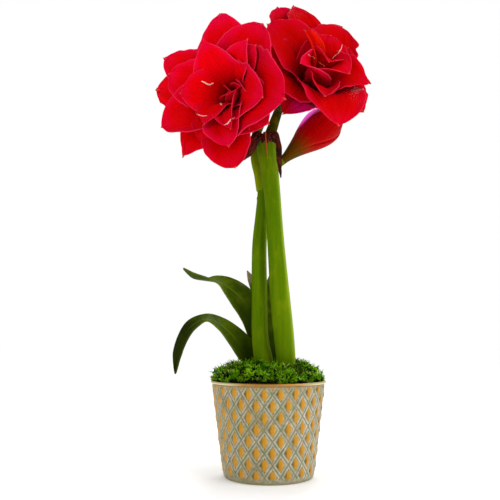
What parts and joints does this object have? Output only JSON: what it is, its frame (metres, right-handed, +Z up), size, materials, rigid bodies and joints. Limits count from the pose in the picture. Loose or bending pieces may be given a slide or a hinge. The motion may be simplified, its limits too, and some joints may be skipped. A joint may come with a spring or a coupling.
{
  "type": "potted double amaryllis plant",
  "caption": "Flowering double amaryllis growing from its bulb in an embossed metal pot, with strap leaves, a closed bud and a mound of moss.",
  "frame": {"origin": "middle of the pot's flat base, on the surface that it stands on", "axes": "+Z up along the plant, front of the plant towards -Y, +X to the viewer's right"},
  "size_m": [0.2467, 0.1706, 0.5422],
  "materials": {
    "pot_metal": "embossed sheet metal, matt grey-green paint rubbed through to gold on the raised lozenges and the lip",
    "soil": "damp dark potting soil",
    "bulb_skin": "dry papery brown scales",
    "moss": "curly green moss with brown bits",
    "scape": "smooth waxy green stem with fine lengthwise stripes",
    "leaf": "waxy strap leaf, dark green with parallel veins",
    "spathe": "withered papery bract, maroon to brown",
    "petal": "velvety deep red petal with fine veins and pinker edges",
    "bud": "crimson petal backs, olive green at the foot"
  },
  "bodies": {
    "root": {"pot": "pot_metal", "soil": "soil", "bulb": "bulb_skin", "moss": "moss", "scape_front": "scape", "scape_rear": "scape", "leaf_upper": "leaf", "leaf_lower": "leaf", "leaf_short": "leaf", "leaf_middle": "leaf", "spathe": "spathe", "bloom_left": "petal", "bloom_right": "petal", "bud": "bud"}
  },
  "joints": []
}
